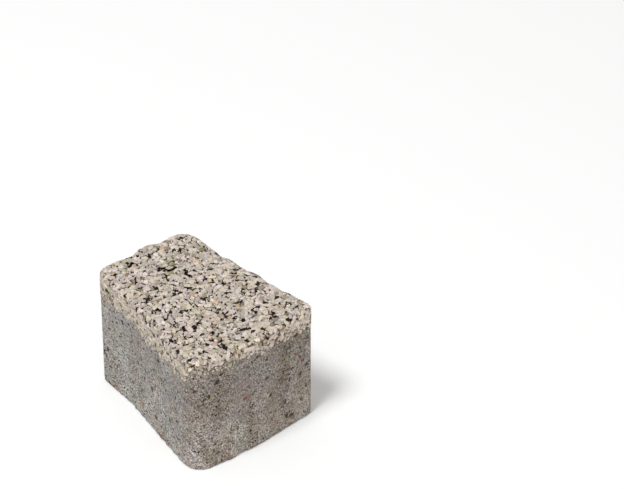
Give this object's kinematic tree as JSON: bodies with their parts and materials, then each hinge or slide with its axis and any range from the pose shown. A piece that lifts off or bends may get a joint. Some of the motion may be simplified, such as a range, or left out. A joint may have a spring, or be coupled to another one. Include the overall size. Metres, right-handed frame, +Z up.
{
  "type": "concrete paver",
  "caption": "Small tapered concrete block paver with a flat wearing face of exposed coloured stone grains, rounded corners and softly waved straight sides.",
  "frame": {"origin": "on the bed face, under the middle of the block's overall box", "axes": "+Z up from the bed to the wearing face, +X from the narrow end to the broad end"},
  "size_m": [0.103, 0.0838, 0.08],
  "materials": {
    "concrete": "matt cast concrete, exposed aggregate on the wearing face"
  },
  "bodies": {
    "root": {"paver": "concrete"}
  },
  "joints": []
}
